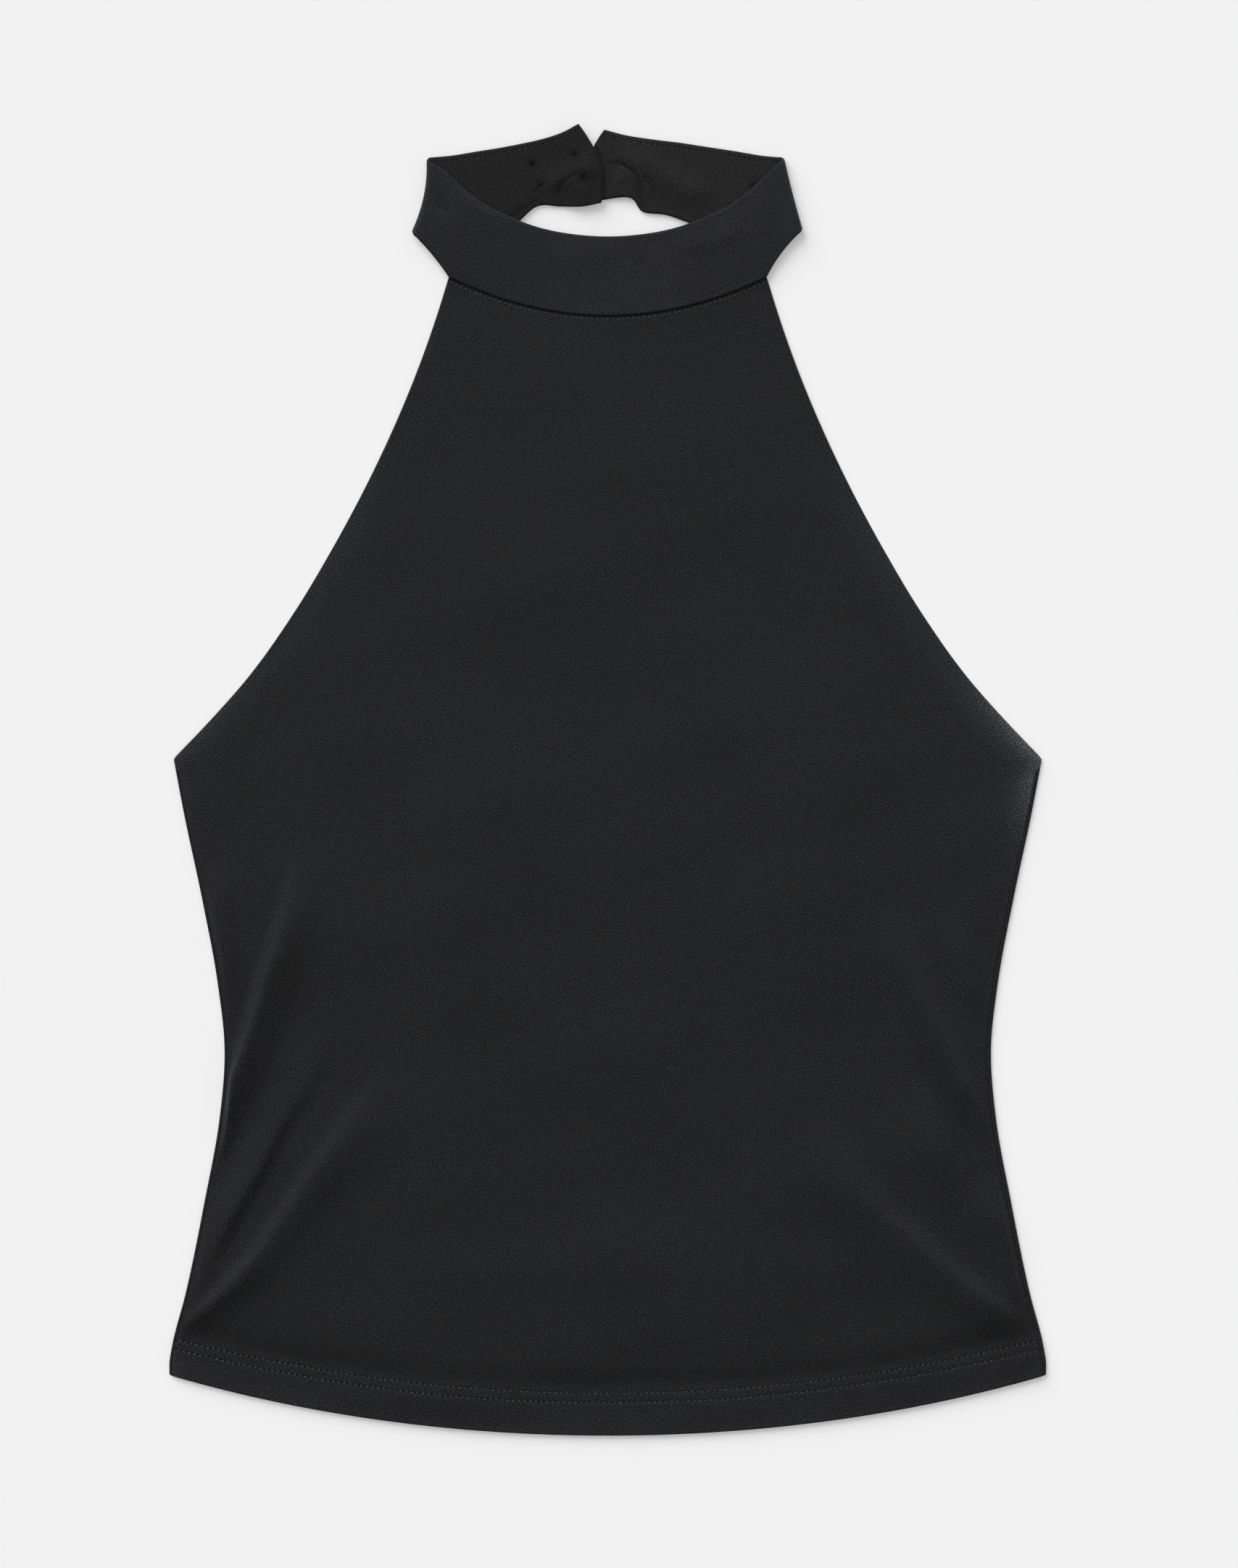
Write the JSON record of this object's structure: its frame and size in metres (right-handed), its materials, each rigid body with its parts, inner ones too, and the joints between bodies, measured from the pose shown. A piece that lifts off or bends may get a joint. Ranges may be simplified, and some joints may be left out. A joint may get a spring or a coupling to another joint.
{
  "type": "high neck top",
  "caption": "Sleeveless halter top with a high band collar, cut-in armholes, a bare back and a curved hem, laid flat front up.",
  "frame": {"origin": "on the surface that the garment lies on, under the centre of its outline", "axes": "+X to the right across the garment as seen from above, +Y up the garment towards the neck, +Z away from the surface"},
  "size_m": [0.4036, 0.6037, 0.0056],
  "materials": {
    "panel_jersey": "matt black stretch crepe jersey",
    "collar_jersey": "matt black stretch crepe jersey, the band's outer ply",
    "facing_jersey": "matt black stretch crepe jersey, the band's inner ply"
  },
  "bodies": {
    "root": {"front_panel": "panel_jersey", "back_panel": "panel_jersey", "collar_outer": "collar_jersey", "collar_facing": "facing_jersey"}
  },
  "joints": []
}
